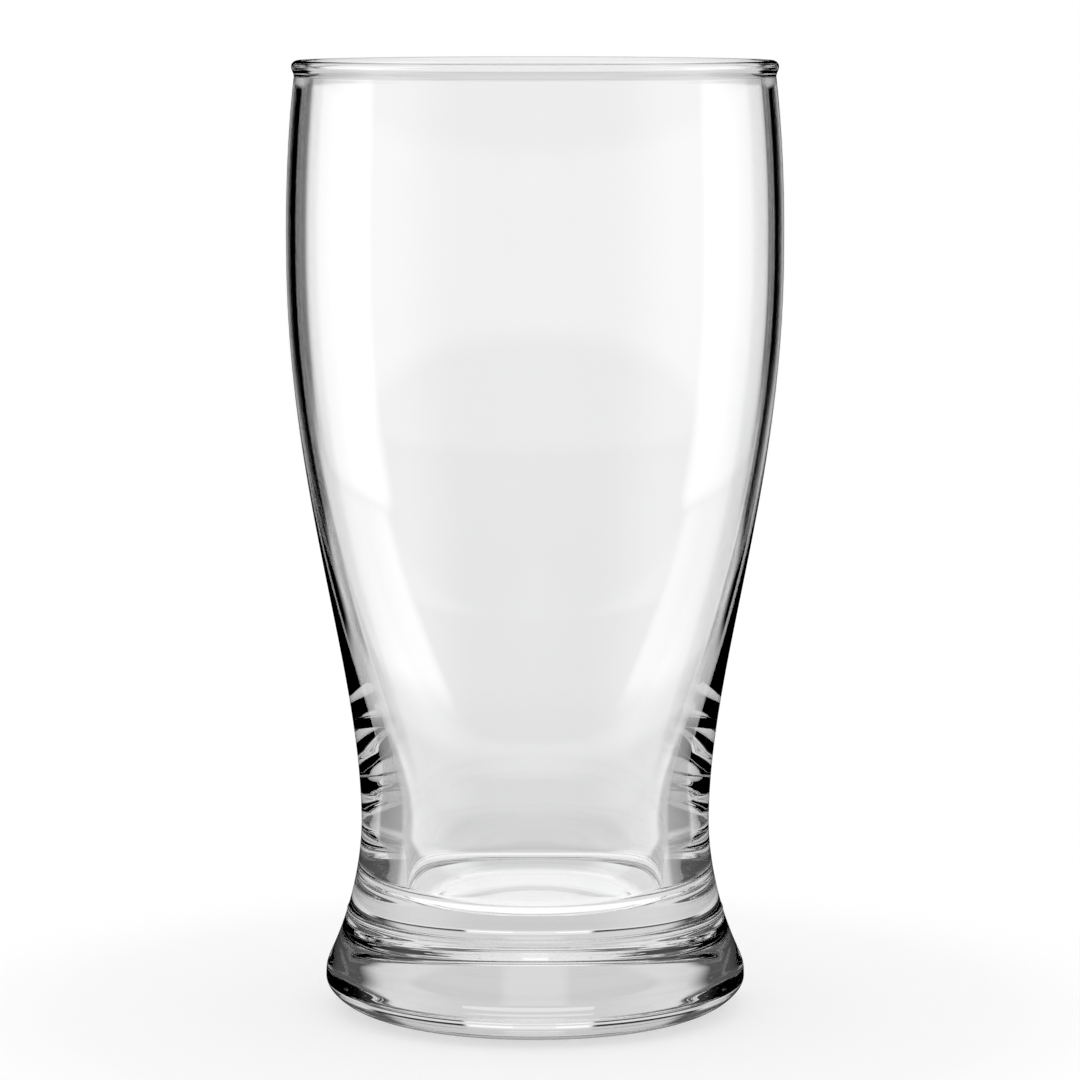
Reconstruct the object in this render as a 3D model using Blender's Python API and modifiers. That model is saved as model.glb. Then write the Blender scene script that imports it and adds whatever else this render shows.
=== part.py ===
"""Beer tumbler of clear glass, in the two formed bodies that meet at its ring line.

The bowl is the drinking vessel: a rounded rim bead, a thin belly, a flank that thickens as it narrows to the
waist, and a rounded cavity floor. The foot is the solid flared block below the ring line, with a rounded
edge and heel, a flat bearing ring and a shallow hollow underside. Both are turned about the Z axis.

Metres, +Z up. The origin is the centre of the circle that the foot stands on.
"""

import math

import bpy

# Overall sizes of the outside
HEIGHT = 0.1577
RIM_RADIUS = 0.0400
BELLY_RADIUS = 0.0410
WAIST_RADIUS = 0.0290
FOOT_RADIUS = 0.0350
BEARING_OUTER_RADIUS = 0.0264

# Where the outside changes: heights above the table, or drops below what lies above
FOOT_HEIGHT = 0.0166
WAIST_ABOVE_FOOT = 0.0146
BELLY_BELOW_RIM = 0.0317
FOOT_EDGE_HEIGHT = 0.0053
FLARE_END_ABOVE_EDGE = 0.0047
FLARE_END_INSET = 0.0012

# How far the rim bead, melted from the wall's own edge, stands proud of the outside
BEAD_STANDOFF = 0.0005

# Glass thickness
RIM_WALL = 0.0016
BELLY_WALL = 0.0015
WAIST_WALL = 0.0063
FLOOR_THICKNESS = 0.0011

# Cavity floor: the inside leans in by the draft, then rounds over the corner to the flat floor
CORNER_DRAFT = 0.0005
CORNER_WIDTH = 0.0072
CORNER_HEIGHT = 0.0032

# Underside hollow, which leaves a flat bearing ring
BEARING_RING_WIDTH = 0.0045
HOLLOW_DEPTH = 0.0014

# Gap between the bowl's and the foot's flat joint faces
JOINT_CLEARANCE = 0.0003

# Outward run of the outside for each unit of drop, below the rim bead and at the end of the foot's flare
RIM_LEAN = 0.119
FLARE_LEAN = 0.446

# How far each end of a curve holds its direction, as a share of the curve's own height or width
RIM_TENSION = 0.49
BELLY_UPPER_TENSION = 0.10
BELLY_LOWER_TENSION = 0.42
WAIST_UPPER_TENSION = 0.28
WAIST_LOWER_TENSION = 0.12
FLARE_TENSION = 0.50
FLARE_END_TENSION = 0.57
EDGE_UPPER_TENSION = 0.45
EDGE_LOWER_TENSION = 0.43
HEEL_TENSION = 0.52
INNER_BELLY_TENSION = 0.48
INNER_WAIST_TENSION = 0.16
ROUND_TENSION = 0.5523
HOLLOW_EDGE_TENSION = 0.28
HOLLOW_CROWN_TENSION = 0.55

# Facets round the axis, and points along each stretch of a profile
TURN_STEPS = 64
BEAD_INNER_POINTS = 4
BEAD_OUTER_POINTS = 6
UPPER_POINTS = 6
FLANK_POINTS = 12
FLARE_POINTS = 6
EDGE_POINTS = 5
HEEL_POINTS = 7
CORNER_POINTS = 6
HOLLOW_POINTS = 4

# Halvings that find a curve's parameter, and the distance within which turned points on the axis become one
PARAMETER_HALVINGS = 50
AXIS_MERGE_DISTANCE = 0.00001

# Clear glass, as the photograph shows it
GLASS_COLOUR = (0.95, 0.97, 0.97, 1.0)
GLASS_ROUGHNESS = 0.02
GLASS_IOR = 1.52

# The bead is as thick as the wall and its standoff together
BEAD_RADIUS = (RIM_WALL + BEAD_STANDOFF) / 2

# Heights worked out from the sizes above
WAIST_HEIGHT = FOOT_HEIGHT + WAIST_ABOVE_FOOT
BELLY_HEIGHT = HEIGHT - BELLY_BELOW_RIM
FLOOR_HEIGHT = FOOT_HEIGHT + JOINT_CLEARANCE + FLOOR_THICKNESS
CORNER_TOP_HEIGHT = FLOOR_HEIGHT + CORNER_HEIGHT
FLARE_END_HEIGHT = FOOT_EDGE_HEIGHT + FLARE_END_ABOVE_EDGE

# Radii of the inside, from the outside and the glass thickness
RIM_INNER_RADIUS = RIM_RADIUS - BEAD_STANDOFF - RIM_WALL
BELLY_INNER_RADIUS = BELLY_RADIUS - BELLY_WALL
WAIST_INNER_RADIUS = WAIST_RADIUS - WAIST_WALL
CORNER_RADIUS = WAIST_INNER_RADIUS - CORNER_DRAFT
FLOOR_RADIUS = CORNER_RADIUS - CORNER_WIDTH
FLARE_END_RADIUS = FOOT_RADIUS - FLARE_END_INSET
BEARING_INNER_RADIUS = BEARING_OUTER_RADIUS - BEARING_RING_WIDTH


def even_steps(first, last, count):
    """Evenly spaced values from first to last, both included."""
    return [first + (last - first) * i / (count - 1) for i in range(count)]


def bezier_point(curve, t):
    """Point of a cubic Bezier curve, given as start, start handle, end handle and end in (radius, height)."""
    weights = ((1 - t) ** 3, 3 * t * (1 - t) ** 2, 3 * t * t * (1 - t), t**3)
    return tuple(sum(w * p[axis] for w, p in zip(weights, curve)) for axis in (0, 1))


def bezier_points(curve, count, first=0.0, last=1.0):
    """Points along a Bezier curve between two of its parameters, both ends included."""
    return [bezier_point(curve, t) for t in even_steps(first, last, count)]


def parameter_at_height(curve, height):
    """Parameter at which a curve that runs downwards passes a height, by halving."""
    low, high = 0.0, 1.0
    for _ in range(PARAMETER_HALVINGS):
        middle = (low + high) / 2
        if bezier_point(curve, middle)[1] > height:
            low = middle
        else:
            high = middle
    return (low + high) / 2


def rim_bead():
    """Rounded bead, from the inner wall over the crest and down to where it meets the outer wall."""
    centre_radius = RIM_INNER_RADIUS + BEAD_RADIUS
    centre_height = HEIGHT - BEAD_RADIUS
    outer_wall_radius = RIM_RADIUS - BEAD_STANDOFF
    inner_end = math.pi
    crest = math.pi / 2
    outer_end = -math.acos((outer_wall_radius - centre_radius) / BEAD_RADIUS)
    angles = even_steps(inner_end, crest, BEAD_INNER_POINTS)
    angles += even_steps(crest, outer_end, BEAD_OUTER_POINTS)[1:]
    return [
        (centre_radius + BEAD_RADIUS * math.cos(angle), centre_height + BEAD_RADIUS * math.sin(angle))
        for angle in angles
    ]


def flare_curve():
    """Outside from the waist down to the end of the foot's flare: both bodies share it."""
    drop = WAIST_HEIGHT - FLARE_END_HEIGHT
    handle = FLARE_TENSION * drop / math.hypot(1.0, FLARE_LEAN)
    return (
        (WAIST_RADIUS, WAIST_HEIGHT),
        (WAIST_RADIUS, WAIST_HEIGHT - WAIST_LOWER_TENSION * drop),
        (FLARE_END_RADIUS - FLARE_LEAN * handle, FLARE_END_HEIGHT + handle),
        (FLARE_END_RADIUS, FLARE_END_HEIGHT),
    )


def outer_upper_curve(start):
    """Outside from under the rim bead, widening down to the belly."""
    drop = start[1] - BELLY_HEIGHT
    handle = RIM_TENSION * drop
    return (
        start,
        (start[0] + RIM_LEAN * handle, start[1] - handle),
        (BELLY_RADIUS, BELLY_HEIGHT + BELLY_UPPER_TENSION * drop),
        (BELLY_RADIUS, BELLY_HEIGHT),
    )


def outer_flank_curve():
    """Outside from the belly, narrowing down to the waist."""
    drop = BELLY_HEIGHT - WAIST_HEIGHT
    return (
        (BELLY_RADIUS, BELLY_HEIGHT),
        (BELLY_RADIUS, BELLY_HEIGHT - BELLY_LOWER_TENSION * drop),
        (WAIST_RADIUS, WAIST_HEIGHT + WAIST_UPPER_TENSION * drop),
        (WAIST_RADIUS, WAIST_HEIGHT),
    )


def inner_upper_curve():
    """Inside from the rim bead, widening down to the belly."""
    top = HEIGHT - BEAD_RADIUS
    drop = top - BELLY_HEIGHT
    handle = RIM_TENSION * drop
    return (
        (RIM_INNER_RADIUS, top),
        (RIM_INNER_RADIUS + RIM_LEAN * handle, top - handle),
        (BELLY_INNER_RADIUS, BELLY_HEIGHT + BELLY_UPPER_TENSION * drop),
        (BELLY_INNER_RADIUS, BELLY_HEIGHT),
    )


def inner_flank_curve():
    """Inside from the belly down to the waist, where it leans in by the corner's draft."""
    drop = BELLY_HEIGHT - WAIST_HEIGHT
    lean = CORNER_DRAFT / (WAIST_HEIGHT - CORNER_TOP_HEIGHT)
    handle = INNER_WAIST_TENSION * drop
    return (
        (BELLY_INNER_RADIUS, BELLY_HEIGHT),
        (BELLY_INNER_RADIUS, BELLY_HEIGHT - INNER_BELLY_TENSION * drop),
        (WAIST_INNER_RADIUS + lean * handle, WAIST_HEIGHT + handle),
        (WAIST_INNER_RADIUS, WAIST_HEIGHT),
    )


def corner_curve():
    """Rounded corner from the lower end of the inside wall to the flat cavity floor."""
    return (
        (CORNER_RADIUS, CORNER_TOP_HEIGHT),
        (CORNER_RADIUS, CORNER_TOP_HEIGHT - ROUND_TENSION * CORNER_HEIGHT),
        (FLOOR_RADIUS + ROUND_TENSION * CORNER_WIDTH, FLOOR_HEIGHT),
        (FLOOR_RADIUS, FLOOR_HEIGHT),
    )


def edge_curve():
    """Rounded edge of the foot, from the end of the flare to its widest circle."""
    drop = FLARE_END_ABOVE_EDGE
    handle = FLARE_END_TENSION * drop / math.hypot(1.0, FLARE_LEAN)
    return (
        (FLARE_END_RADIUS, FLARE_END_HEIGHT),
        (FLARE_END_RADIUS + FLARE_LEAN * handle, FLARE_END_HEIGHT - handle),
        (FOOT_RADIUS, FOOT_EDGE_HEIGHT + EDGE_UPPER_TENSION * drop),
        (FOOT_RADIUS, FOOT_EDGE_HEIGHT),
    )


def heel_curve():
    """Rounded heel, from the foot's widest circle to the flat bearing ring."""
    width = FOOT_RADIUS - BEARING_OUTER_RADIUS
    return (
        (FOOT_RADIUS, FOOT_EDGE_HEIGHT),
        (FOOT_RADIUS, FOOT_EDGE_HEIGHT * (1 - EDGE_LOWER_TENSION)),
        (BEARING_OUTER_RADIUS + HEEL_TENSION * width, 0.0),
        (BEARING_OUTER_RADIUS, 0.0),
    )


def hollow_curve():
    """Shallow hollow of the underside, from the bearing ring up to its crown on the axis."""
    return (
        (BEARING_INNER_RADIUS, 0.0),
        (BEARING_INNER_RADIUS * (1 - HOLLOW_EDGE_TENSION), HOLLOW_DEPTH),
        (BEARING_INNER_RADIUS * HOLLOW_CROWN_TENSION, HOLLOW_DEPTH),
        (0.0, HOLLOW_DEPTH),
    )


def bowl_profile():
    """Half section of the bowl, from the cavity floor's centre over the rim to the joint face's centre."""
    joint_height = FOOT_HEIGHT + JOINT_CLEARANCE
    flare = flare_curve()
    joint_at = parameter_at_height(flare, joint_height)
    bead = rim_bead()
    inside = bezier_points(inner_upper_curve(), UPPER_POINTS)
    inside += bezier_points(inner_flank_curve(), FLANK_POINTS)[1:]
    inside += bezier_points(corner_curve(), CORNER_POINTS)
    outside = bezier_points(outer_upper_curve(bead[-1]), UPPER_POINTS)
    outside += bezier_points(outer_flank_curve(), FLANK_POINTS)[1:]
    outside += bezier_points(flare, FLARE_POINTS, last=joint_at)[1:]
    return [(0.0, FLOOR_HEIGHT)] + inside[:0:-1] + bead[:-1] + outside + [(0.0, joint_height)]


def foot_profile():
    """Half section of the foot, from the joint face's centre down the flare to the hollow's crown."""
    flare = flare_curve()
    joint_at = parameter_at_height(flare, FOOT_HEIGHT)
    outside = bezier_points(flare, FLARE_POINTS, first=joint_at)
    outside += bezier_points(edge_curve(), EDGE_POINTS)[1:]
    outside += bezier_points(heel_curve(), HEEL_POINTS)[1:]
    return [(0.0, FOOT_HEIGHT)] + outside + bezier_points(hollow_curve(), HOLLOW_POINTS)


def clear_glass(name):
    """Clear, polished glass."""
    material = bpy.data.materials.new(name)
    material.use_nodes = True
    shader = material.node_tree.nodes["Principled BSDF"]
    shader.inputs["Base Color"].default_value = GLASS_COLOUR
    shader.inputs["Metallic"].default_value = 0.0
    shader.inputs["Roughness"].default_value = GLASS_ROUGHNESS
    shader.inputs["IOR"].default_value = GLASS_IOR
    shader.inputs["Transmission Weight"].default_value = 1.0
    return material


def turned_body(name, profile, material, collection):
    """Solid of revolution: a half section in the XZ plane, turned about Z."""
    mesh = bpy.data.meshes.new(name)
    points = [(radius, 0.0, height) for radius, height in profile]
    mesh.from_pydata(points, [(i, i + 1) for i in range(len(points) - 1)], [])
    body = bpy.data.objects.new(name, mesh)
    collection.objects.link(body)
    turn = body.modifiers.new("turn", "SCREW")
    turn.axis = "Z"
    turn.angle = 2 * math.pi
    turn.steps = TURN_STEPS
    turn.render_steps = TURN_STEPS
    turn.use_merge_vertices = True
    turn.merge_threshold = AXIS_MERGE_DISTANCE
    turn.use_smooth_shade = True
    mesh.materials.append(material)
    return body


def main():
    for old in list(bpy.data.objects):
        bpy.data.objects.remove(old, do_unlink=True)
    collection = bpy.data.collections.new("beer_tumbler")
    bpy.context.scene.collection.children.link(collection)
    turned_body("bowl", bowl_profile(), clear_glass("bowl_glass"), collection)
    turned_body("foot", foot_profile(), clear_glass("foot_glass"), collection)


main()
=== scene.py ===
"""Beer tumbler of clear glass: the finished surfaces around the packed frame, and a plain white studio.

Laid out as an add-on and run as a script. The bowl and the foot are two closed glass bodies that meet at the
ring line, each a profile turned about the axis with its forming marks laid on as heights. Metres, +Z up.
"""

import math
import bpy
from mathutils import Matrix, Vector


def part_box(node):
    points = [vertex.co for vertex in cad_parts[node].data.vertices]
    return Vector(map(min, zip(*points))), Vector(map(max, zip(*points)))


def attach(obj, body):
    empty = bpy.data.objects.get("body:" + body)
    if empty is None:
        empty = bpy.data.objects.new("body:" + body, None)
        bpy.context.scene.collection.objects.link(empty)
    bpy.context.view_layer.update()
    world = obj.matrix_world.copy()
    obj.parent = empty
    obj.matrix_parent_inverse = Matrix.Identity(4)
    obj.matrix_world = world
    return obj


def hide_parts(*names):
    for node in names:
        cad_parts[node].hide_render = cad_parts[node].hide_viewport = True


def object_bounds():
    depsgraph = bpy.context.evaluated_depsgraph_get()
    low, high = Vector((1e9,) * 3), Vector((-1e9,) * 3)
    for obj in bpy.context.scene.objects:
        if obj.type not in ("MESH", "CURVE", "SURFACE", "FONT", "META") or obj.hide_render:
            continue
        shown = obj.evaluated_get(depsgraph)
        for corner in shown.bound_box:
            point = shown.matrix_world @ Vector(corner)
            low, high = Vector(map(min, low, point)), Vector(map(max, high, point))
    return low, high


bl_info = {
    "name": "Beer tumbler",
    "version": (1, 0, 0),
    "blender": (4, 5, 0),
    "location": "3D View > Sidebar > Tumbler",
    "description": "Makes a clear beer tumbler, bowl and foot, and a white studio to see it in",
    "category": "Object",
}

import bpy
import numpy as np

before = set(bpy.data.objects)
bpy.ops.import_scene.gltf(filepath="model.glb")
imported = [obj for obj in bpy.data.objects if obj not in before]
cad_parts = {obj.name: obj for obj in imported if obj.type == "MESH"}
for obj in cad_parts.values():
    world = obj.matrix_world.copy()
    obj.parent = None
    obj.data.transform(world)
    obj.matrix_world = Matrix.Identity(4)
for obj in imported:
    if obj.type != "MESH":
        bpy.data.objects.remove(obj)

# The CAD model's box, and the sizes that are read from the frame's nodes
CAD_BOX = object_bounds()
FOOT_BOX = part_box("foot")
CAD_HEIGHT = CAD_BOX[1].z
CAD_FOOT_RADIUS = FOOT_BOX[1].x
CAD_FOOT_HEIGHT = FOOT_BOX[1].z

BODY = "root"

# Facets round the axis, and points along each stretch of the profile
TURN_STEPS = 256
BEAD_POINTS = 18
NECK_POINTS = 14
UPPER_POINTS = 22
FLANK_POINTS = 60
FLARE_POINTS = 48
RING_LINE_POINTS = 21
FLARE_FINE_POINTS = 800
EDGE_POINTS = 20
HEEL_POINTS = 34
RING_POINTS = 8
HOLLOW_POINTS = 40
INNER_UPPER_POINTS = 22
INNER_FLANK_POINTS = 92
INNER_WALL_POINTS = 18
CORNER_POINTS = 40
FLOOR_POINTS = 16
JOINT_POINTS = 6

# Handle lengths of the outside's curves, as shares of the curve's drop, width or bead
BEAD_HANDLE = 0.52
NECK_HANDLE = 0.90
UPPER_HANDLE = 0.47
BELLY_HANDLE = 0.10
FLANK_TOP_HANDLE = 0.42
FLANK_WAIST_HANDLE = 0.28
FLARE_WAIST_HANDLE = 0.12
FLARE_END_HANDLE = 0.50
EDGE_TOP_HANDLE = 0.57
EDGE_HANDLE = 0.45
HEEL_TOP_SHARE = 0.57
HEEL_HANDLE = 0.52
HOLLOW_RIM_SHARE = 0.72
HOLLOW_MIDDLE_SHARE = 0.55
# The same for the inside's curves
INNER_WAIST_HANDLE = 0.16
INNER_FLANK_HANDLE = 0.48
INNER_RIM_HANDLE = 0.49

# How far from the ring line its rows lie close together
RING_LINE_REACH = 0.0009
# Room under the CAD model's top for the uneven rim
RIM_ROOM = 0.00001
# Share of a quarter circle's radius that the handles of a cubic curve need to draw it
ROUND_TENSION = 0.5523
# Below this a tangent has no direction
SMALLEST_TANGENT = 1e-12

# Height over which the rim is uneven, and its waves: share, count round the rim and phase
RIM_REACH = 0.0012
RIM_WAVES = ((1.0, 23, 0.4), (0.8, 37, 1.9), (0.7, 53, 4.2))
# Where the cavity's corner has its ripples: middle height, reach, smallest radius and pitch
RIPPLE_HEIGHT = 0.0187
RIPPLE_REACH = 0.0016
RIPPLE_START = 0.0145
RIPPLE_PITCH = 0.0014

# The floor lies just under the foot
FLOOR_LEVEL = -0.00005
FLOOR_RINGS = 6
FLOOR_STEPS = 96

# Paths of light: gloss ends early, which keeps the glass's edges and its lower wall dark
MOST_BOUNCES = 32
GLOSS_BOUNCES = 8
CLEAR_BOUNCES = 64

# Mix nodes carry a set of sockets for each kind of value: first and second number, first and second colour,
# and the colour that comes out
MIX_NUMBERS = (2, 3)
MIX_COLOURS = (6, 7)
MIX_COLOUR_OUT = 2
# Middle of a noise texture's range
NOISE_MIDDLE = 0.5

# Edges sharper than this are creases: only the joint faces' rims are
CREASE_ANGLE = math.radians(40)
WHITE = (1.0, 1.0, 1.0, 1.0)


def length(name, description, default):
    """A size in metres."""
    return bpy.props.FloatProperty(
        name=name, description=description, default=default, unit="LENGTH", subtype="DISTANCE", precision=5
    )


def share(name, description, default):
    """A plain number, such as a share or a slope."""
    return bpy.props.FloatProperty(name=name, description=description, default=default, precision=4)


def turn(name, description, degrees):
    """An angle, given in degrees."""
    return bpy.props.FloatProperty(
        name=name, description=description, default=math.radians(degrees), unit="ROTATION", subtype="ANGLE"
    )


class TumblerOutside(bpy.types.PropertyGroup):
    """Sizes of the outside."""

    height: length("Height", "Table to the crest of the rim", CAD_HEIGHT - RIM_ROOM)
    rim_radius: length("Rim radius", "Widest circle of the rim bead", 0.0400)
    belly_radius: length("Belly radius", "Circle of the belly", 0.04099)
    belly_below_rim: length("Belly below rim", "Drop from the crest to the belly", 0.0317)
    waist_radius: length("Waist radius", "Narrowest circle of the outside", 0.0290)
    waist_above_foot: length("Waist above foot", "Height of the waist over the ring line", 0.0146)
    foot_height: length("Foot height", "Table to the ring line", CAD_FOOT_HEIGHT)
    foot_radius: length("Foot radius", "Widest circle of the foot", CAD_FOOT_RADIUS)
    foot_edge_height: length("Foot edge height", "Table to the foot's widest circle", 0.0053)
    flare_above_edge: length("Flare above edge", "Height of the flare's end over the widest circle", 0.0047)
    flare_inset: length("Flare inset", "Flare's end inside the widest circle", 0.0012)
    bearing_radius: length("Bearing radius", "Outer circle of the flat that stands on the table", 0.0264)
    bearing_width: length("Bearing width", "Width of that flat ring", 0.0045)
    hollow_depth: length("Hollow depth", "Rise of the underside at the axis", 0.0014)
    bead_standoff: length("Bead standoff", "How far the bead stands proud of the wall", 0.0005)
    neck_drop: length("Neck drop", "Height over which the bead runs out into the wall", 0.0016)
    rim_lean: share("Rim lean", "Outward run for each unit of drop below the bead", 0.119)
    flare_lean: share("Flare lean", "Outward run for each unit of drop at the flare's end", 0.446)


class TumblerInside(bpy.types.PropertyGroup):
    """Glass thickness and the sizes of the cavity."""

    rim_wall: length("Rim wall", "Glass thickness below the bead", 0.0016)
    belly_wall: length("Belly wall", "Glass thickness at the belly", 0.0015)
    waist_wall: length("Waist wall", "Glass thickness at the waist", 0.0063)
    floor_thickness: length("Floor thickness", "Cavity floor over the ring line", 0.0014)
    corner_draft: length("Corner draft", "How far the wall leans in below the waist", 0.0005)
    corner_width: length("Corner width", "Level run of the rounded corner", 0.0072)
    corner_height: length("Corner height", "Upright run of the rounded corner", 0.0042)


class FormingMarks(bpy.types.PropertyGroup):
    """Heights of the marks that forming left in the glass."""

    ring_height: length("Ring height", "Fin at the ring line, where two mould parts met", 0.00012)
    ring_width: length("Ring width", "Half width of that fin", 0.00025)
    rim_height: length("Rim height", "Unevenness of the melted rim", 0.000003)
    corner_ripple: length("Corner ripple", "Rings in the cavity's corner", 0.00001)


class GlassFinish(bpy.types.PropertyGroup):
    """How the glass looks."""

    thin_colour: bpy.props.FloatVectorProperty(
        name="Thin colour", description="What each surface of the thin upper wall lets through", size=4,
        subtype="COLOR", min=0.0, max=1.0, default=(0.989, 0.990, 0.990, 1.0),
    )
    thick_colour: bpy.props.FloatVectorProperty(
        name="Thick colour", description="What each surface of the thick base lets through", size=4,
        subtype="COLOR", min=0.0, max=1.0, default=(0.975, 0.977, 0.977, 1.0),
    )
    thin_height: length("Thin height", "Where the wall is all thin, over the table", 0.095)
    thick_height: length("Thick height", "Where the glass is all thick, over the table", 0.012)
    cord_drift: length("Cord drift", "How far cords of uneven melt carry the tint up or down", 0.050)
    cord_scale: share("Cord scale", "Cords for each metre round the glass", 60.0)
    cord_stretch: share("Cord stretch", "Cords for each metre of height", 18.0)
    ior: share("Refraction", "Index of refraction of soda-lime glass", 1.52)
    roughness: share("Roughness", "Roughness of the fire-polished skin", 0.0)


class StudioStage(bpy.types.PropertyGroup):
    """Floor and camera."""

    floor_radius: length("Floor radius", "Radius of the pale floor", 1.2)
    floor_colour: bpy.props.FloatVectorProperty(
        name="Floor colour", description="Colour of the pale floor", size=4, subtype="COLOR",
        min=0.0, max=1.0, default=(0.97, 0.97, 0.97, 1.0),
    )
    fade_start: length("Fade start", "Where the floor starts to run out into plain white", 0.04)
    fade_end: length("Fade end", "Where the floor is plain white", 0.115)
    floor_glow: share("Floor glow", "Share of plain white in the floor beside the glass", 0.55)
    table_radius: length("Table radius", "White table round the foot that the glass shows", 0.17)
    table_soft: length("Table soft", "Soft edge of that table", 0.06)
    camera_distance: length("Camera distance", "Lens to the glass's axis, level", 0.7795)
    camera_height: length("Camera height", "Lens over the table", 0.17066)
    camera_aside: length("Camera aside", "Lens to the right of the axis", 0.00081)
    camera_pitch: turn("Camera pitch", "Camera's look down from level", 6.7494)
    lens: share("Lens", "Focal length in millimetres on the sensor below", 157.58)
    sensor: share("Sensor", "Sensor width in millimetres", 36.0)


def bezier(start, start_handle, end_handle, end, count):
    """Points of a cubic Bezier curve in (radius, height): the four points weighted by (1-t)^3, 3t(1-t)^2,
    3t^2(1-t) and t^3, at evenly spaced t from 0 to 1."""
    t = np.linspace(0.0, 1.0, count)[:, None]
    points = [np.asarray(p, float) for p in (start, start_handle, end_handle, end)]
    return (
        (1 - t) ** 3 * points[0]
        + 3 * t * (1 - t) ** 2 * points[1]
        + 3 * t**2 * (1 - t) * points[2]
        + t**3 * points[3]
    )


def joined(*runs):
    """Runs of profile points end to end, each run's first point left out after the first run."""
    return np.concatenate([runs[0]] + [run[1:] for run in runs[1:]])


def level_run(first_radius, last_radius, height, count):
    """Level stretch of the profile from one radius to another."""
    return np.stack([np.linspace(first_radius, last_radius, count), np.full(count, height)], axis=1)


def outside_runs(out, inside):
    """The outside from the rim's crest to the underside's centre, as named runs of (radius, height) points.

    The bead is a circle as thick as the wall and its standoff; a curve takes it into the wall. Below it lie
    the upper wall, the flank, the flare, the foot's rounded edge, the heel, the bearing ring and the hollow.
    """
    bead = (inside.rim_wall + out.bead_standoff) / 2
    centre = np.array([out.rim_radius - bead, out.height - bead])
    angles = np.linspace(math.pi / 2, 0.0, BEAD_POINTS)
    crest = centre + bead * np.stack([np.cos(angles), np.sin(angles)], axis=1)

    belly_height = out.height - out.belly_below_rim
    waist_height = out.foot_height + out.waist_above_foot
    wall_top = np.array([out.rim_radius - out.bead_standoff, out.height - 2 * bead])
    neck_end = wall_top + np.array([out.rim_lean, -1.0]) * (out.neck_drop - bead)
    neck_lean = np.array([-out.rim_lean, 1.0]) * (out.neck_drop - bead) * NECK_HANDLE
    bead_handle = crest[-1] - [0.0, BEAD_HANDLE * bead]
    neck = bezier(crest[-1], bead_handle, neck_end + neck_lean, neck_end, NECK_POINTS)

    drop = neck_end[1] - belly_height
    upper = bezier(
        neck_end,
        neck_end + np.array([out.rim_lean, -1.0]) * UPPER_HANDLE * drop,
        (out.belly_radius, belly_height + BELLY_HANDLE * drop),
        (out.belly_radius, belly_height),
        UPPER_POINTS,
    )
    drop = belly_height - waist_height
    flank = bezier(
        (out.belly_radius, belly_height),
        (out.belly_radius, belly_height - FLANK_TOP_HANDLE * drop),
        (out.waist_radius, waist_height + FLANK_WAIST_HANDLE * drop),
        (out.waist_radius, waist_height),
        FLANK_POINTS,
    )
    flare_end = np.array([out.foot_radius - out.flare_inset, out.foot_edge_height + out.flare_above_edge])
    along = np.array([out.flare_lean, -1.0]) / math.hypot(1.0, out.flare_lean)
    drop = waist_height - flare_end[1]
    flare = bezier(
        (out.waist_radius, waist_height),
        (out.waist_radius, waist_height - FLARE_WAIST_HANDLE * drop),
        flare_end - along * FLARE_END_HANDLE * drop,
        flare_end,
        FLARE_FINE_POINTS,
    )
    flare = with_close_rows(flare, out.foot_height)
    drop = out.flare_above_edge
    edge = bezier(
        flare_end,
        flare_end + along * EDGE_TOP_HANDLE * drop,
        (out.foot_radius, out.foot_edge_height + EDGE_HANDLE * drop),
        (out.foot_radius, out.foot_edge_height),
        EDGE_POINTS,
    )
    width = out.foot_radius - out.bearing_radius
    heel = bezier(
        (out.foot_radius, out.foot_edge_height),
        (out.foot_radius, out.foot_edge_height * HEEL_TOP_SHARE),
        (out.bearing_radius + HEEL_HANDLE * width, 0.0),
        (out.bearing_radius, 0.0),
        HEEL_POINTS,
    )
    hollow_radius = out.bearing_radius - out.bearing_width
    bearing = level_run(out.bearing_radius, hollow_radius, 0.0, RING_POINTS)
    hollow = bezier(
        (hollow_radius, 0.0),
        (hollow_radius * HOLLOW_RIM_SHARE, out.hollow_depth),
        (hollow_radius * HOLLOW_MIDDLE_SHARE, out.hollow_depth),
        (0.0, out.hollow_depth),
        HOLLOW_POINTS,
    )
    return {
        "wall": joined(crest, neck, upper, flank),
        "flare": flare,
        "under": joined(edge, heel, bearing, hollow),
    }


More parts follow.
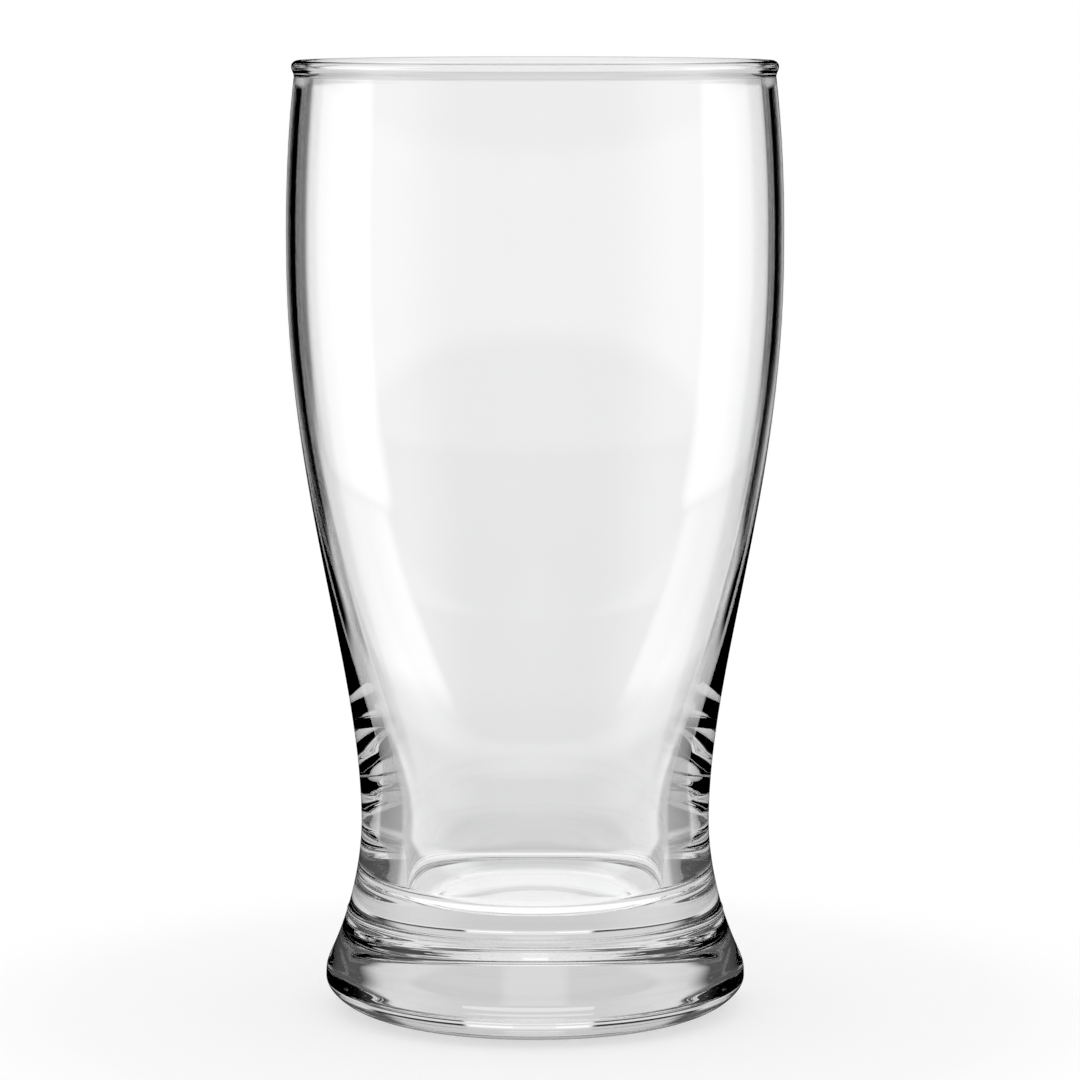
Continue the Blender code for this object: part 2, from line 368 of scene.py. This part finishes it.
def inside_run(out, inside):
    """The inside from the cavity floor's centre to the rim's crest, as (radius, height) points: flat floor,
    rounded corner, leaning wall, flank, upper wall and the inner half of the bead."""
    bead = (inside.rim_wall + out.bead_standoff) / 2
    rim_radius = out.rim_radius - 2 * bead
    top = out.height - bead
    belly_height = out.height - out.belly_below_rim
    waist_height = out.foot_height + out.waist_above_foot
    belly_radius = out.belly_radius - inside.belly_wall
    waist_radius = out.waist_radius - inside.waist_wall
    corner_radius = waist_radius - inside.corner_draft
    floor_height = out.foot_height + inside.floor_thickness
    corner_top = floor_height + inside.corner_height
    floor_radius = corner_radius - inside.corner_width
    lean = inside.corner_draft / (waist_height - corner_top)

    floor = level_run(0.0, floor_radius, floor_height, FLOOR_POINTS)
    corner = bezier(
        (floor_radius, floor_height),
        (floor_radius + ROUND_TENSION * inside.corner_width, floor_height),
        (corner_radius, corner_top - ROUND_TENSION * inside.corner_height),
        (corner_radius, corner_top),
        CORNER_POINTS,
    )
    third = (waist_height - corner_top) / 3
    wall = bezier(
        (corner_radius, corner_top),
        (corner_radius, corner_top + third),
        (waist_radius - lean * third, waist_height - third),
        (waist_radius, waist_height),
        INNER_WALL_POINTS,
    )
    drop = belly_height - waist_height
    flank = bezier(
        (waist_radius, waist_height),
        (waist_radius + lean * INNER_WAIST_HANDLE * drop, waist_height + INNER_WAIST_HANDLE * drop),
        (belly_radius, belly_height - INNER_FLANK_HANDLE * drop),
        (belly_radius, belly_height),
        INNER_FLANK_POINTS,
    )
    drop = top - belly_height
    upper = bezier(
        (belly_radius, belly_height),
        (belly_radius, belly_height + BELLY_HANDLE * drop),
        (rim_radius + out.rim_lean * INNER_RIM_HANDLE * drop, top - INNER_RIM_HANDLE * drop),
        (rim_radius, top),
        INNER_UPPER_POINTS,
    )
    angles = np.linspace(math.pi, math.pi / 2, BEAD_POINTS)
    centre = np.array([rim_radius + bead, top])
    crest = centre + bead * np.stack([np.cos(angles), np.sin(angles)], axis=1)
    return joined(floor, corner, wall, flank, upper, crest)


def with_close_rows(run, height):
    """A run that goes down, at even heights and at closer ones round one height, which gets a row of its own;
    radii lie on the lines between the run's points."""
    even = np.linspace(run[0, 1], run[-1, 1], FLARE_POINTS)
    close = height + RING_LINE_REACH * np.linspace(1.0, -1.0, RING_LINE_POINTS)
    levels = np.sort(np.concatenate([even[np.abs(even - height) > RING_LINE_REACH], close]))
    radii = np.interp(levels, run[::-1, 1], run[::-1, 0])
    return np.stack([radii, levels], axis=1)[::-1]


def split_at_height(run, height):
    """A run that goes down, cut in two at the row of a height; both parts hold that row."""
    at = int(np.argmin(np.abs(run[:, 1] - height)))
    return run[: at + 1], run[at:]


def hump(distance, width):
    """Bell curve: e to the power of minus the squared share of distance over width."""
    return np.exp(-((distance / width) ** 2))


def outward(profile):
    """Unit directions square to the profile, to its left as it runs, from the tangent between neighbours."""
    tangent = np.gradient(profile, axis=0)
    tangent /= np.maximum(np.linalg.norm(tangent, axis=1, keepdims=True), SMALLEST_TANGENT)
    return np.stack([-tangent[:, 1], tangent[:, 0]], axis=1)


def turned(profile, heights):
    """Surface of revolution with marks: the point at (row, angle) lies at the profile's point moved by the
    height along the profile's outward direction, at radius r as (r cos a, r sin a, z)."""
    angles = np.linspace(0.0, 2 * math.pi, TURN_STEPS, endpoint=False)
    way = outward(profile)
    radius = profile[:, 0:1] + way[:, 0:1] * heights
    level = profile[:, 1:2] + way[:, 1:2] * heights
    return np.stack([radius * np.cos(angles), radius * np.sin(angles), level], axis=-1)


def closed_mesh(name, grid, joint_rows):
    """Mesh of a turned grid whose first and last rows lie on the axis: each becomes one pole, rows between
    them are joined by quads that also close the seam, and rows in joint_rows take the second material."""
    rows, steps, _ = grid.shape
    rings = rows - 2
    points = np.concatenate([grid[1:-1].reshape(-1, 3), grid[:1, 0], grid[-1:, 0]])
    column = np.arange(steps)
    after = (column + 1) % steps
    ring = np.arange(rings - 1)[:, None] * steps
    quads = np.stack([ring + column, ring + steps + column, ring + steps + after, ring + after], axis=-1)
    first_pole, last_pole = rings * steps, rings * steps + 1
    last_ring = (rings - 1) * steps
    first_fan = np.stack([np.full(steps, first_pole), column, after], axis=-1)
    last_fan = np.stack([np.full(steps, last_pole), last_ring + after, last_ring + column], axis=-1)
    corners = np.concatenate([first_fan.ravel(), quads.ravel(), last_fan.ravel()])
    sizes = np.concatenate([np.full(steps, 3), np.full(quads.size // 4, 4), np.full(steps, 3)])
    starts = np.concatenate([[0], np.cumsum(sizes)[:-1]])
    quad_rows = np.repeat(np.arange(1, rings), steps)
    row_of_face = np.concatenate([np.zeros(steps), quad_rows, np.full(steps, rings)])
    slots = ((row_of_face >= joint_rows[0]) & (row_of_face < joint_rows[1])).astype(np.int32)

    mesh = bpy.data.meshes.new(name)
    mesh.vertices.add(len(points))
    mesh.vertices.foreach_set("co", points.astype(np.float32).ravel())
    mesh.loops.add(len(corners))
    mesh.loops.foreach_set("vertex_index", corners.astype(np.int32))
    mesh.polygons.add(len(sizes))
    mesh.polygons.foreach_set("loop_start", starts.astype(np.int32))
    mesh.polygons.foreach_set("material_index", slots)
    mesh.update(calc_edges=True)
    mesh.validate()
    mesh.shade_smooth()
    mesh.set_sharp_from_angle(angle=CREASE_ANGLE)
    return mesh


def angle_grid():
    """Angles round the axis, as one row to lay beside a profile's column."""
    return np.linspace(0.0, 2 * math.pi, TURN_STEPS, endpoint=False)[None, :]


def ring_fin(height, marks, foot_height):
    """Fin at the ring line: a hump at the line's height."""
    return marks.ring_height * hump(height - foot_height, marks.ring_width)


def bowl_marks(profile, crest_row, marks, out):
    """Heights on the bowl: the uneven rim, a sum of sine waves round the axis under a hump at the crest, the
    corner's ripples, a sine of the radius under a hump at their height, and the ring line's fin."""
    angle = angle_grid()
    radius = profile[:, 0:1]
    height = profile[:, 1:2]
    inside = np.arange(len(profile))[:, None] < crest_row
    uneven = sum(part * np.sin(count * angle + phase) for part, count, phase in RIM_WAVES)
    heights = hump(height - out.height, RIM_REACH) * marks.rim_height * uneven
    corner = inside * hump(height - RIPPLE_HEIGHT, RIPPLE_REACH) * (radius > RIPPLE_START)
    heights += corner * marks.corner_ripple * np.sin(radius / RIPPLE_PITCH * 2 * math.pi)
    heights += (~inside) * ring_fin(height, marks, out.foot_height)
    return heights


def foot_marks(profile, outer_start, marks, out):
    """Heights on the foot: the lower half of the ring line's fin."""
    height = profile[:, 1:2]
    row = np.arange(len(profile))[:, None]
    fin = (row >= outer_start) * ring_fin(height, marks, out.foot_height)
    return fin * np.ones((1, TURN_STEPS))


def clear_glass(finish):
    """Clear fire-polished glass: its tint deepens from the thin wall to the thick base, and cords of uneven
    melt carry it up and down. Values that are the same all over stand on the shader's own sockets."""
    material = bpy.data.materials.new("clear_glass")
    material.use_nodes = True
    bench = NodeBench(material.node_tree)
    place = bench.add("ShaderNodeTexCoord")
    axes = bench.add("ShaderNodeSeparateXYZ")
    bench.put(place.outputs["Object"], axes.inputs[0])
    cords = bench.add("ShaderNodeMapping")
    bench.put(place.outputs["Object"], cords.inputs["Vector"])
    cords.inputs["Scale"].default_value = (finish.cord_scale, finish.cord_scale, finish.cord_stretch)
    noise = bench.add("ShaderNodeTexNoise")
    bench.put(cords.outputs["Vector"], noise.inputs["Vector"])
    noise.inputs["Scale"].default_value = 1.0
    drift = bench.math("SUBTRACT", noise.outputs["Fac"], NOISE_MIDDLE)
    drift = bench.math("MULTIPLY", drift, finish.cord_drift)
    thick = bench.step(bench.math("ADD", axes.outputs["Z"], drift), finish.thin_height, finish.thick_height)
    tint = bench.add("ShaderNodeMix", data_type="RGBA")
    bench.put(thick, tint.inputs["Factor"])
    for colour, socket in zip((finish.thin_colour, finish.thick_colour), MIX_COLOURS):
        bench.put(colour, tint.inputs[socket])
    shader = bench.add("ShaderNodeBsdfPrincipled")
    bench.put(tint.outputs[MIX_COLOUR_OUT], shader.inputs["Base Color"])
    shader.inputs["Roughness"].default_value = finish.roughness
    shader.inputs["IOR"].default_value = finish.ior
    shader.inputs["Transmission Weight"].default_value = 1.0
    output = bench.add("ShaderNodeOutputMaterial")
    bench.put(shader.outputs[0], output.inputs["Surface"])
    return material


def fused_joint():
    """Joint faces, where the bowl's glass runs on into the foot's: nothing is seen of them."""
    material = bpy.data.materials.new("fused_joint")
    material.use_nodes = True
    shader = material.node_tree.nodes["Principled BSDF"]
    shader.inputs["Base Color"].default_value = WHITE
    shader.inputs["Alpha"].default_value = 0.0
    return material


def finished_piece(name, mesh, node, finish):
    """Object of a glass body at the origin with its two materials, riding on the body in its node's place."""
    for maker in (lambda: clear_glass(finish), fused_joint):
        mesh.materials.append(maker())
    piece = bpy.data.objects.new(name, mesh)
    bpy.context.scene.collection.objects.link(piece)
    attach(piece, BODY)
    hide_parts(node)
    return piece


class TUMBLER_OT_bowl(bpy.types.Operator):
    """Make the bowl, from the cavity floor over the rim to the ring line"""

    bl_idname = "tumbler.bowl"
    bl_label = "Bowl"

    def execute(self, context):
        scene = context.scene
        out, inside = scene.tumbler_outside, scene.tumbler_inside
        runs = outside_runs(out, inside)
        flare = split_at_height(runs["flare"], out.foot_height)[0]
        inner = inside_run(out, inside)
        fused = level_run(flare[-1, 0], 0.0, out.foot_height, JOINT_POINTS)
        profile = joined(inner, runs["wall"], flare, fused)
        joint_start = len(profile) - JOINT_POINTS
        heights = bowl_marks(profile, len(inner) - 1, scene.tumbler_marks, out)
        heights[joint_start + 1 :] = 0.0
        grid = turned(profile, heights)
        mesh = closed_mesh("tumbler_bowl", grid, (joint_start, len(profile)))
        finished_piece("tumbler_bowl", mesh, "bowl", scene.tumbler_finish)
        return {"FINISHED"}


class TUMBLER_OT_foot(bpy.types.Operator):
    """Make the foot, from the ring line down to the hollow underside"""

    bl_idname = "tumbler.foot"
    bl_label = "Foot"

    def execute(self, context):
        scene = context.scene
        out, inside = scene.tumbler_outside, scene.tumbler_inside
        runs = outside_runs(out, inside)
        flare = split_at_height(runs["flare"], out.foot_height)[1]
        fused = level_run(0.0, flare[0, 0], out.foot_height, JOINT_POINTS)
        profile = joined(fused, flare, runs["under"])
        heights = foot_marks(profile, JOINT_POINTS - 1, scene.tumbler_marks, out)
        grid = turned(profile, heights)
        mesh = closed_mesh("tumbler_foot", grid, (0, JOINT_POINTS - 1))
        finished_piece("tumbler_foot", mesh, "foot", scene.tumbler_finish)
        return {"FINISHED"}


class NodeBench:
    """A node tree with short ways to add and link its nodes."""

    def __init__(self, tree):
        self.tree = tree
        tree.nodes.clear()

    def add(self, kind, **settings):
        node = self.tree.nodes.new(kind)
        for name, value in settings.items():
            setattr(node, name, value)
        return node

    def put(self, value, socket):
        """Links an output to a socket, or sets a plain value on it."""
        if isinstance(value, bpy.types.NodeSocket):
            self.tree.links.new(value, socket)
        else:
            socket.default_value = value

    def math(self, operation, first, second=0.0):
        node = self.add("ShaderNodeMath", operation=operation)
        self.put(first, node.inputs[0])
        self.put(second, node.inputs[1])
        return node.outputs[0]

    def step(self, value, first, last, low=0.0, high=1.0):
        """Smooth step from low at first to high at last."""
        node = self.add("ShaderNodeMapRange", interpolation_type="SMOOTHSTEP")
        self.put(value, node.inputs["Value"])
        for name, number in (("From Min", first), ("From Max", last), ("To Min", low), ("To Max", high)):
            self.put(number, node.inputs[name])
        return node.outputs["Result"]

    def window(self, value, low, high, soft):
        """1 between low and high, 0 outside, with soft edges."""
        above = self.step(value, low - soft / 2, low + soft / 2)
        return self.math("MULTIPLY", above, self.step(value, high + soft / 2, high - soft / 2))

    def line(self, value, first, last, low, high):
        """Even run from low at first to high at last, and no further."""
        node = self.add("ShaderNodeMapRange")
        self.put(value, node.inputs["Value"])
        for name, number in (("From Min", first), ("From Max", last), ("To Min", low), ("To Max", high)):
            self.put(number, node.inputs[name])
        return node.outputs["Result"]

    def between(self, factor, first, second):
        """Number from first at factor 0 to second at factor 1."""
        node = self.add("ShaderNodeMix", data_type="FLOAT")
        self.put(factor, node.inputs[0])
        for value, socket in zip((first, second), MIX_NUMBERS):
            self.put(value, node.inputs[socket])
        return node.outputs[0]

    def shaders(self, factor, first, second):
        node = self.add("ShaderNodeMixShader")
        self.put(factor, node.inputs[0])
        self.put(first, node.inputs[1])
        self.put(second, node.inputs[2])
        return node.outputs[0]

    def emission(self, strength):
        node = self.add("ShaderNodeEmission")
        self.put(strength, node.inputs["Strength"])
        return node.outputs[0]


# Studio panels that the glass shows through itself and in its gloss: compass angle of the middle from
# straight behind the glass, positive to the right, half width at the foot and at the top, soft edge, lowest
# and highest rise over the horizon, all in degrees, then strength. The dark gaps beside the backdrop give the
# glass its dark edges.
PANELS_THROUGH = (
    ("backdrop", 1.2, 12.2, 12.2, 1.5, -7.5, 1.5, 0.95),
    ("backdrop_upper", 1.2, 12.2, 12.2, 1.5, -1.0, 5.5, 0.84),
    ("sweep_upper", 1.2, 15.5, 12.2, 1.5, -13.0, -5.0, 0.92),
    ("sweep", 1.2, 20.5, 14.5, 2.0, -24.0, -10.5, 0.88),
    ("sweep_low", 0.5, 21.0, 21.0, 3.0, -46.0, -21.0, 0.88),
    ("glow_left", -7.0, 3.8, 3.8, 2.4, -9.0, 1.5, 1.15),
    ("glow_right", 8.2, 5.0, 5.0, 2.4, -9.0, 1.5, 1.12),
    ("glow_low_left", -8.6, 5.2, 5.2, 2.4, -24.0, -7.0, 1.06),
    ("glow_low_right", 10.4, 7.0, 7.0, 2.4, -24.0, -7.0, 1.02),
    ("high", 0.0, 35.0, 35.0, 10.0, 2.0, 33.0, 0.66),
    ("high_middle", 0.0, 10.0, 10.0, 12.0, 7.0, 31.0, 0.74),
    ("ceiling_middle", 0.0, 14.0, 14.0, 8.0, 29.0, 62.0, 1.10),
    ("ceiling", 0.0, 200.0, 200.0, 4.0, 40.0, 90.0, 0.85),
    ("room_behind", 180.0, 40.0, 40.0, 12.0, 20.0, 45.0, 0.70),
    ("around", 180.0, 138.0, 138.0, 8.0, -60.0, 5.0, 0.86),
    ("around_low", 0.0, 200.0, 200.0, 4.0, -90.0, -27.0, 0.80),
    ("around_high", 180.0, 145.0, 145.0, 10.0, 3.0, 43.0, 0.10),
    ("pane_back_left", -45.0, 16.0, 16.0, 10.0, -42.0, -15.0, 0.84),
    ("pane_back_right", 45.0, 16.0, 16.0, 10.0, -42.0, -15.0, 0.84),
)
PANELS_MIRRORED = (
    ("softbox_left", -105.0, 22.0, 22.0, 40.0, -34.0, 26.0, 1.50),
    ("softbox_right", 105.0, 24.0, 24.0, 40.0, -34.0, 26.0, 1.50),
    ("ceiling", 0.0, 200.0, 200.0, 4.0, 55.0, 90.0, 0.80),
)
# Degrees over which a panel starts and ends in rise
RISE_SOFTNESS = 3.0

# Painted light and shade of the table that the glass shows: patches of glow, each laid over those before it,
# with painted shadow beside and behind the foot and a painted pool of light under the glass. Compass angles
# from and to with their soft edge in degrees, distances from the axis from and to with theirs in metres,
# brightness
TABLE_LIGHT_AND_SHADE = (
    ("plain", -181.0, 181.0, 1.0, -1.0, 9.0, 1.0, 0.74),
    ("behind", -40.0, 40.0, 6.0, -1.0, 9.0, 1.0, 0.86),
    # Painted shadows beside the foot
    ("shade_left", -74.0, -40.0, 8.0, 0.045, 0.095, 0.014, 0.40),
    ("shade_right", 40.0, 74.0, 8.0, 0.045, 0.095, 0.014, 0.40),
    # Painted shade behind the foot, paler further out
    ("half_shade_behind", -34.0, 34.0, 8.0, 0.075, 0.125, 0.020, 0.76),
    ("shade_behind", -22.0, 22.0, 12.0, 0.030, 0.085, 0.020, 0.64),
    # Painted pool of light under the glass, brighter than white
    ("light_under_glass", -181.0, 181.0, 1.0, -1.0, 0.026, 0.006, 1.10),
)


def panel_light(bench, compass, rise, panels):
    """Strength of a set of studio panels in a direction: the brightest panel that covers it.

    A panel is a window in compass angle times a window in rise, both with soft edges, times its strength. Its
    half width runs evenly from the one at its foot to the one at its top.
    """
    total = 0.0
    for _, middle, half_low, half_high, soft, low, high, strength in panels:
        aside = bench.math("PINGPONG", bench.math("SUBTRACT", compass, middle), 180.0)
        if half_low != half_high:
            half = bench.line(rise, low, high, half_low, half_high)
            aside = bench.math("ADD", bench.math("SUBTRACT", aside, half), half_low)
        window = bench.step(aside, half_low + soft / 2, half_low - soft / 2)
        above = bench.step(rise, low - RISE_SOFTNESS / 2, low + RISE_SOFTNESS / 2)
        below = bench.step(rise, high + RISE_SOFTNESS / 2, high - RISE_SOFTNESS / 2, 0.0, strength)
        light = bench.math("MULTIPLY", bench.math("MULTIPLY", window, above), below)
        total = bench.math("MAXIMUM", total, light)
    return total


def studio_world(scene):
    """White surroundings: plain white to the camera, an even dome for the floor, and to the glass the panels
    that it shows through itself and the softboxes in its gloss. A direction is a compass angle from straight
    behind the glass, positive to the right, and a rise over the horizon."""
    world = bpy.data.worlds.new("studio")
    world.use_nodes = True
    scene.world = world
    bench = NodeBench(world.node_tree)
    place = bench.add("ShaderNodeTexCoord")
    axes = bench.add("ShaderNodeSeparateXYZ")
    bench.put(place.outputs["Generated"], axes.inputs[0])
    compass = bench.math("DEGREES", bench.math("ARCTAN2", axes.outputs["X"], axes.outputs["Y"]))
    rise = bench.math("DEGREES", bench.math("ARCSINE", axes.outputs["Z"]))
    path = bench.add("ShaderNodeLightPath")
    mirrored = panel_light(bench, compass, rise, PANELS_MIRRORED)
    through = panel_light(bench, compass, rise, PANELS_THROUGH)
    strength = bench.between(path.outputs["Is Glossy Ray"], 1.0, mirrored)
    strength = bench.between(path.outputs["Is Transmission Ray"], strength, through)
    strength = bench.between(path.outputs["Is Camera Ray"], strength, 1.0)
    background = bench.add("ShaderNodeBackground")
    background.inputs["Color"].default_value = WHITE
    bench.put(strength, background.inputs["Strength"])
    output = bench.add("ShaderNodeOutputWorld")
    bench.put(background.outputs[0], output.inputs["Surface"])


def painted_table_light(bench, place, distance):
    """Painted light and shade of the table that the glass shows, as a brightness: 1, taken over by each patch
    in turn where it lies.
    """
    axes = bench.add("ShaderNodeSeparateXYZ")
    bench.put(place.outputs["Object"], axes.inputs[0])
    compass = bench.math("DEGREES", bench.math("ARCTAN2", axes.outputs["X"], axes.outputs["Y"]))
    level = 1.0
    for _, first, last, soft, near, far, blur, brightness in TABLE_LIGHT_AND_SHADE:
        sector = bench.window(compass, first, last, soft)
        patch = bench.math("MULTIPLY", sector, bench.window(distance, near, far, blur))
        level = bench.between(patch, level, brightness)
    return level


def floor_material(stage):
    """Pale floor that keeps the shadow near the glass and runs out into plain white. Through itself the glass
    shows the table near by glowing with painted light and shade, and the studio's panels further out. Its
    gloss shows panels alone."""
    material = bpy.data.materials.new("pale_floor")
    material.use_nodes = True
    bench = NodeBench(material.node_tree)
    place = bench.add("ShaderNodeTexCoord")
    distance = bench.add("ShaderNodeVectorMath", operation="LENGTH")
    bench.put(place.outputs["Object"], distance.inputs[0])
    paint = bench.add("ShaderNodeBsdfDiffuse")
    paint.inputs["Color"].default_value = stage.floor_colour
    fade = bench.step(distance.outputs["Value"], stage.fade_start, stage.fade_end)
    path = bench.add("ShaderNodeLightPath")
    fade = bench.math("MAXIMUM", fade, stage.floor_glow)
    seen = bench.shaders(fade, paint.outputs[0], bench.emission(1.0))
    clear = bench.add("ShaderNodeBsdfTransparent").outputs[0]
    reach = stage.table_radius
    near = bench.step(distance.outputs["Value"], reach + stage.table_soft / 2, reach - stage.table_soft / 2)
    # Only to the glass does the table near the foot glow, with its painted light and shade
    table = bench.shaders(near, clear, bench.emission(painted_table_light(bench, place, distance.outputs["Value"])))
    other = bench.shaders(path.outputs["Is Glossy Ray"], paint.outputs[0], clear)
    other = bench.shaders(path.outputs["Is Transmission Ray"], other, table)
    surface = bench.shaders(path.outputs["Is Camera Ray"], other, seen)
    output = bench.add("ShaderNodeOutputMaterial")
    bench.put(surface, output.inputs["Surface"])
    return material


def round_floor(stage):
    """Flat disc just under the foot: rings of points at even angles, as a turned level run."""
    rings = level_run(0.0, stage.floor_radius, FLOOR_LEVEL, FLOOR_RINGS)[1:, 0][:, None]
    angles = np.linspace(0.0, 2 * math.pi, FLOOR_STEPS, endpoint=False)
    level = np.full((len(rings), FLOOR_STEPS), FLOOR_LEVEL)
    points = np.stack([rings * np.cos(angles), rings * np.sin(angles), level], -1)
    points = np.concatenate([points.reshape(-1, 3), [[0.0, 0.0, FLOOR_LEVEL]]])
    column = np.arange(FLOOR_STEPS)
    after = (column + 1) % FLOOR_STEPS
    ring = np.arange(len(rings) - 1)[:, None] * FLOOR_STEPS
    outer = ring + FLOOR_STEPS
    quads = np.stack([ring + column, outer + column, outer + after, ring + after], -1).reshape(-1, 4)
    fan = np.stack([np.full(FLOOR_STEPS, len(points) - 1), column, after], -1)
    mesh = bpy.data.meshes.new("floor")
    mesh.from_pydata(points.tolist(), [], fan.tolist() + quads.tolist())
    mesh.materials.append(floor_material(stage))
    floor = bpy.data.objects.new("floor", mesh)
    bpy.context.scene.collection.objects.link(floor)


def studio_camera(scene, stage):
    """Camera in front of the glass, a little above the rim, looking slightly down."""
    data = bpy.data.cameras.new("camera")
    data.sensor_width = stage.sensor
    data.lens = stage.lens
    camera = bpy.data.objects.new("camera", data)
    camera.location = (stage.camera_aside, -stage.camera_distance, stage.camera_height)
    camera.rotation_euler = (math.pi / 2 - stage.camera_pitch, 0.0, 0.0)
    scene.collection.objects.link(camera)
    scene.camera = camera


class TUMBLER_OT_stage(bpy.types.Operator):
    """Make the floor, the studio's light and the camera"""

    bl_idname = "tumbler.stage"
    bl_label = "Stage"

    def execute(self, context):
        scene = context.scene
        scene.view_settings.view_transform = "Standard"
        scene.cycles.max_bounces = MOST_BOUNCES
        scene.cycles.transmission_bounces = MOST_BOUNCES
        scene.cycles.glossy_bounces = GLOSS_BOUNCES
        scene.cycles.transparent_max_bounces = CLEAR_BOUNCES
        round_floor(scene.tumbler_stage)
        studio_world(scene)
        studio_camera(scene, scene.tumbler_stage)
        return {"FINISHED"}


GROUPS = {
    "tumbler_outside": TumblerOutside,
    "tumbler_inside": TumblerInside,
    "tumbler_marks": FormingMarks,
    "tumbler_finish": GlassFinish,
    "tumbler_stage": StudioStage,
}
OPERATORS = (TUMBLER_OT_bowl, TUMBLER_OT_foot, TUMBLER_OT_stage)


class TUMBLER_PT_sidebar(bpy.types.Panel):
    """Sizes, colours and makers of the tumbler"""

    bl_idname = "TUMBLER_PT_sidebar"
    bl_label = "Beer tumbler"
    bl_space_type = "VIEW_3D"
    bl_region_type = "UI"
    bl_category = "Tumbler"

    def draw(self, context):
        for name, group in GROUPS.items():
            box = self.layout.box()
            box.label(text=group.__doc__)
            for size in group.__annotations__:
                box.prop(getattr(context.scene, name), size)
        for operator in OPERATORS:
            self.layout.operator(operator.bl_idname)


CLASSES = (*GROUPS.values(), *OPERATORS, TUMBLER_PT_sidebar)


def register():
    for kind in CLASSES:
        bpy.utils.register_class(kind)
    for name, group in GROUPS.items():
        setattr(bpy.types.Scene, name, bpy.props.PointerProperty(type=group))


def unregister():
    for name in GROUPS:
        delattr(bpy.types.Scene, name)
    for kind in reversed(CLASSES):
        bpy.utils.unregister_class(kind)


def main():
    register()
    bpy.ops.tumbler.bowl()
    bpy.ops.tumbler.foot()
    bpy.ops.tumbler.stage()


if __name__ == "__main__":
    main()
